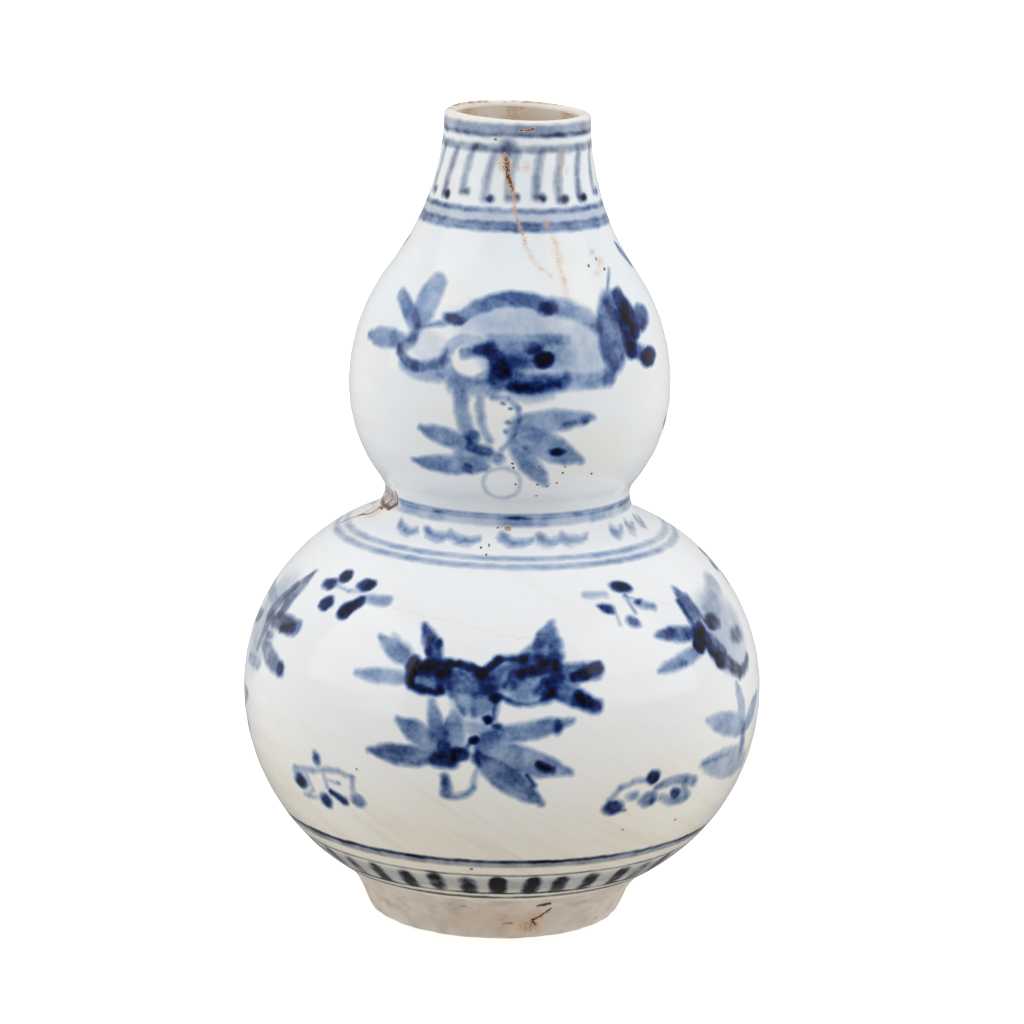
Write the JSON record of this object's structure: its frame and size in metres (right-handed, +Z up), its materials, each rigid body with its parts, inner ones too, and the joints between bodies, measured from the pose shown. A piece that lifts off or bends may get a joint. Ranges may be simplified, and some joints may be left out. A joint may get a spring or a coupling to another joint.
{
  "type": "double gourd vase",
  "caption": "Double gourd vase in blue and white glazed porcelain, thrown in sections luted with slip, with a turned foot ring and a narrow mouth for flower stems.",
  "frame": {"origin": "middle of the foot ring's standing edge, on the vase's axis", "axes": "+Z up along the axis to the mouth; -Y is the side with the main flower spray, seen in the picture"},
  "size_m": [0.1412, 0.1412, 0.22],
  "materials": {
    "porcelain": "glossy bluish white glaze over underglaze blue brushwork",
    "slip": "fired porcelain slip under the glaze"
  },
  "bodies": {
    "root": {"base_bowl": "porcelain", "belly_slip": "slip", "shoulder_section": "porcelain", "waist_slip": "slip", "upper_cup": "porcelain", "upper_belly_slip": "slip", "upper_dome": "porcelain", "neck_slip": "slip", "neck": "porcelain"}
  },
  "joints": []
}
